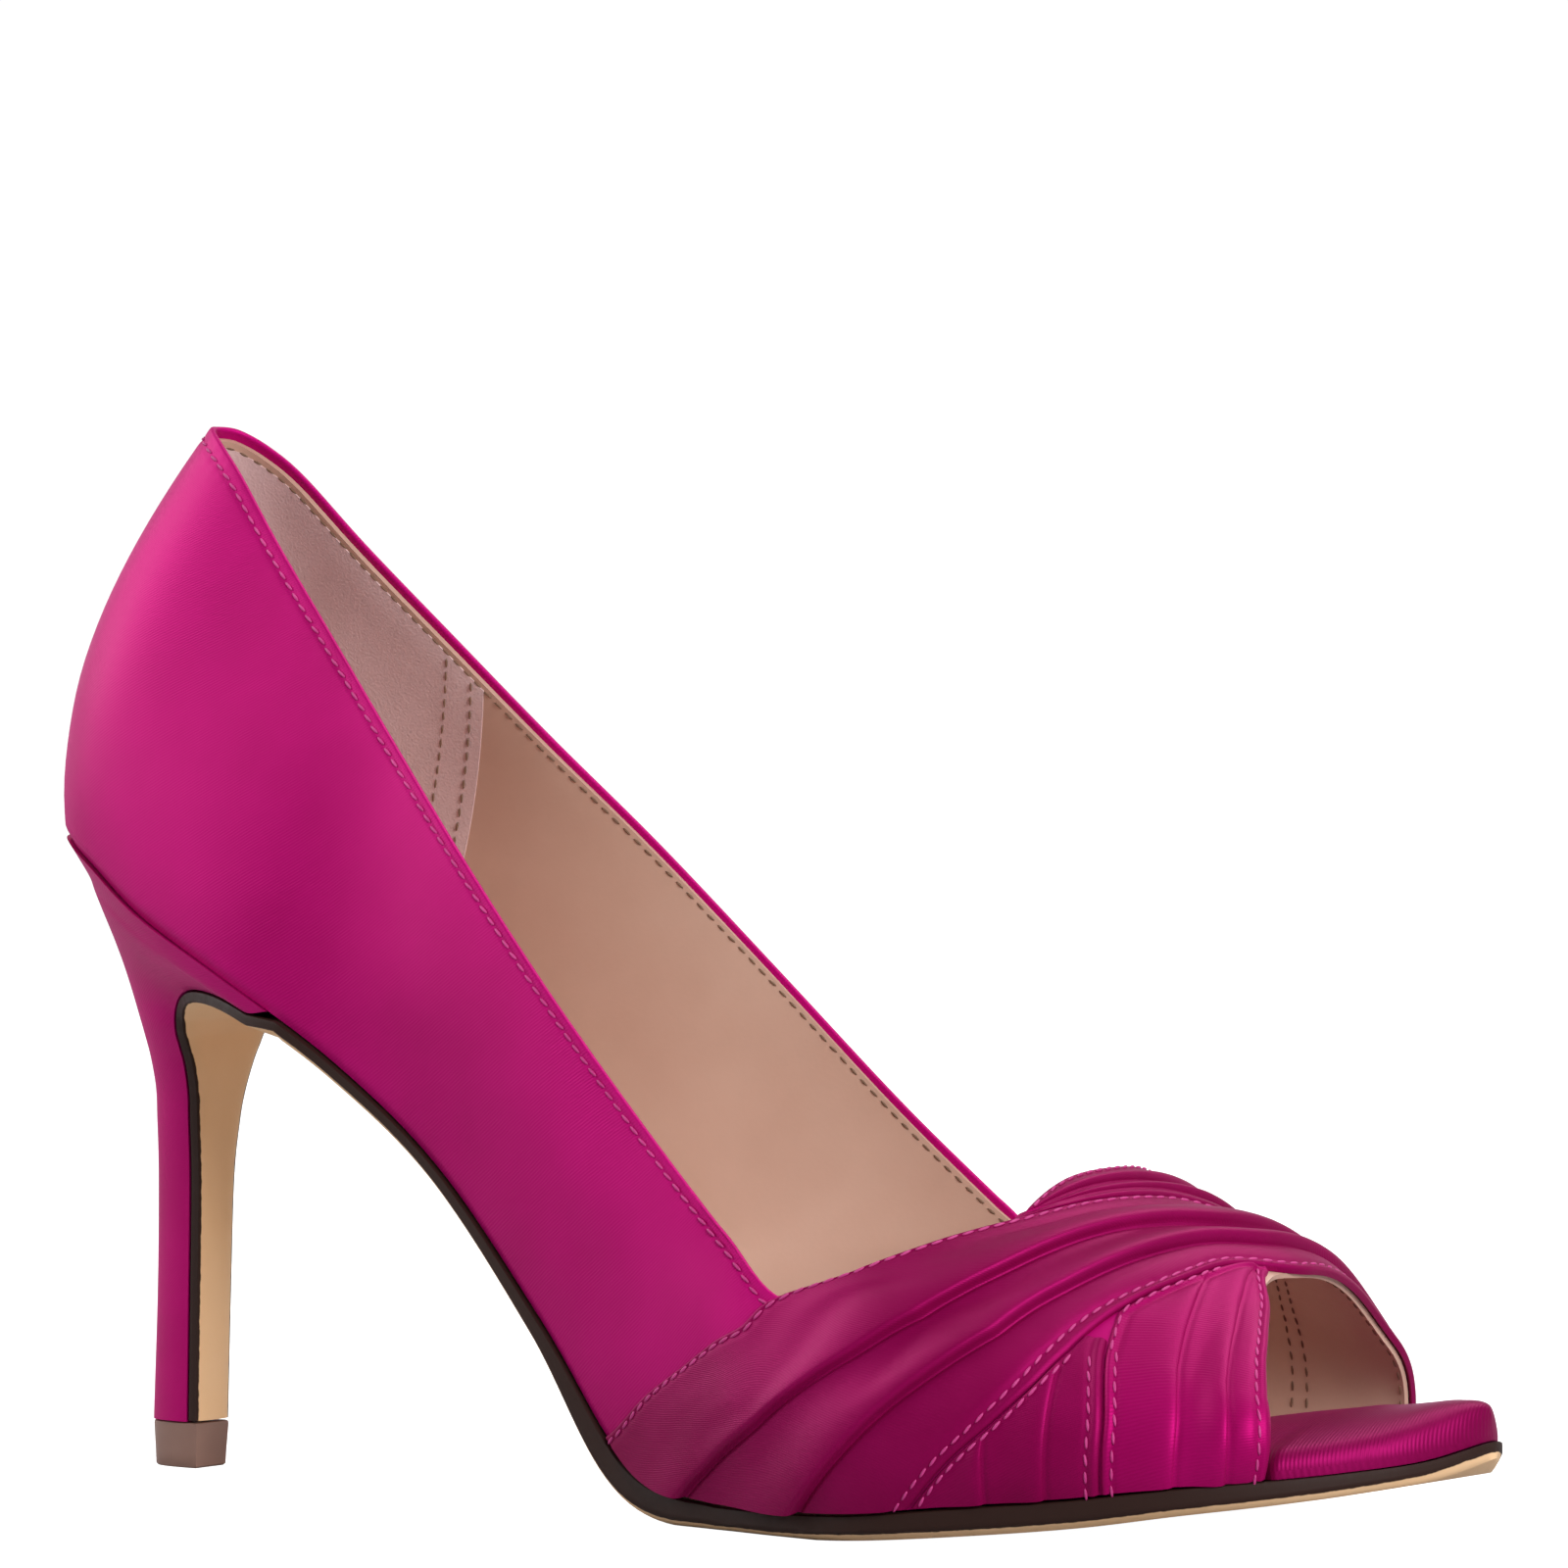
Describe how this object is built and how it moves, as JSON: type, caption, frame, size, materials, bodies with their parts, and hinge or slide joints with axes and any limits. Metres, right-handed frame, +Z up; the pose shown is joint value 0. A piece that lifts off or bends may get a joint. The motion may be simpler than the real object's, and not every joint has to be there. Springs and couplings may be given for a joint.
{
  "type": "peep toe pump",
  "caption": "Right-foot peep toe pump: hollow satin upper, crossed pleated bands over the toes, leather sole and slim high heel.",
  "frame": {"origin": "middle of the heel tip's flat underside, on the floor", "axes": "+X to the toe, +Y to the wearer's left (medial side of this right shoe), +Z up"},
  "size_m": [0.2221, 0.0833, 0.144],
  "materials": {
    "satin": "satin",
    "lining": "soft matte",
    "sole_leather": "smooth",
    "heel_tip": "semi gloss"
  },
  "bodies": {
    "root": {"upper": "satin", "band_outer": "satin", "band_under": "satin", "end_panel": "satin", "filler_lateral": "satin", "filler_medial": "satin", "insole_sock": "lining", "insole_toe": "satin", "outsole": "sole_leather", "heel": "satin", "heel_tip": "heel_tip"}
  },
  "joints": []
}
